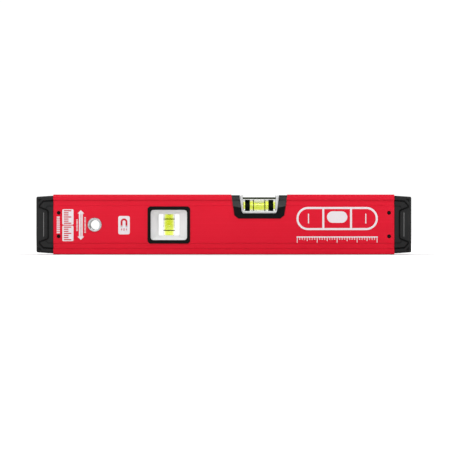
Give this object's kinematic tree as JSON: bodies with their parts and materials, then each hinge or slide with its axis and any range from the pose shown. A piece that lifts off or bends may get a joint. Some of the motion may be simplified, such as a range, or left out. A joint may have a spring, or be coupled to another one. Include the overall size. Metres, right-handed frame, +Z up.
{
  "type": "spirit level",
  "caption": "Box-beam spirit level with a top-read level vial, a plumb vial, a hang hole, base magnets and pull-off rubber end caps.",
  "frame": {"origin": "middle of the overall length and depth, on the measuring face the level stands on", "axes": "+X along the beam, with the plumb vial on the -X side; +Y to the back; +Z up"},
  "size_m": [0.406, 0.03, 0.065],
  "materials": {
    "beam_paint": "red powder coat",
    "cradle_plastic": "fine texture",
    "tray_plastic": "satin",
    "clear_acrylic": "polished",
    "vial_plug": "satin",
    "vial_fluid": "clear tinted liquid",
    "bubble_air": "smooth",
    "reading_line": "printed",
    "contrast_band": "printed",
    "eyelet_metal": "silver satin",
    "magnet_nickel": "nickel plate",
    "magnet_bond": "matt resin",
    "magnet_cup_steel": "zinc plate",
    "carrier_plastic": "moulded",
    "cap_rubber": "matt fine grain",
    "tongue_plastic": "moulded",
    "nub_rubber": "matt"
  },
  "bodies": {
    "beam": {"beam_frame": "beam_paint", "hang_eyelet_back": "eyelet_metal", "hang_eyelet_front": "eyelet_metal", "level_contrast_bands": "contrast_band", "level_cradle": "cradle_plastic", "level_fluid": "vial_fluid", "level_reading_lines": "reading_line", "level_top_lens": "clear_acrylic", "level_tray_back": "tray_plastic", "level_tray_front": "tray_plastic", "level_vial_plug_left": "vial_plug", "level_vial_plug_right": "vial_plug", "level_vial_tube": "clear_acrylic", "magnet_1": "magnet_nickel", "magnet_2": "magnet_nickel", "magnet_3": "magnet_nickel", "magnet_bond_ring_1": "magnet_bond", "magnet_bond_ring_2": "magnet_bond", "magnet_bond_ring_3": "magnet_bond", "magnet_carrier_1": "carrier_plastic", "magnet_carrier_2": "carrier_plastic", "magnet_carrier_3": "carrier_plastic", "magnet_cup_1": "magnet_cup_steel", "magnet_cup_2": "magnet_cup_steel", "magnet_cup_3": "magnet_cup_steel", "plumb_bezel_back": "cradle_plastic", "plumb_bezel_front": "cradle_plastic", "plumb_fluid": "vial_fluid", "plumb_housing_back": "tray_plastic", "plumb_housing_front": "tray_plastic", "plumb_reading_lines": "reading_line", "plumb_vial_plug_bottom": "vial_plug", "plumb_vial_plug_top": "vial_plug", "plumb_vial_tube": "clear_acrylic"},
    "cap_left": {"end_cap_left": "cap_rubber", "cap_tongue_left": "tongue_plastic", "cap_nubs_left": "nub_rubber"},
    "cap_right": {"end_cap_right": "cap_rubber", "cap_tongue_right": "tongue_plastic", "cap_nubs_right": "nub_rubber"},
    "level_bubble_body": {"level_bubble": "bubble_air"},
    "plumb_bubble_body": {"plumb_bubble": "bubble_air"}
  },
  "joints": [
    {"name": "cap_left_pull", "type": "slide", "parent": "beam", "child": "cap_left", "axis": [-1, 0, 0], "range_m": [0, 0.035], "deforming": ["cap_nubs_left"]},
    {"name": "cap_right_pull", "type": "slide", "parent": "beam", "child": "cap_right", "axis": [1, 0, 0], "range_m": [0, 0.035], "deforming": ["cap_nubs_right"]},
    {"name": "level_bubble_arc", "type": "hinge", "parent": "beam", "child": "level_bubble_body", "pos_m": [0.0384, 0, -0.09285], "axis": [0, 1, 0], "range_deg": [-3.6, 3.6], "stiffness_Nm_per_rad": 0.003, "deforming": ["level_fluid"]},
    {"name": "plumb_bubble_slide", "type": "slide", "parent": "beam", "child": "plumb_bubble_body", "axis": [0, 0, 1], "range_m": [-0.0268, 0], "stiffness_N_per_m": 0.5, "springref_m": 0.02, "deforming": ["plumb_fluid"]}
  ]
}
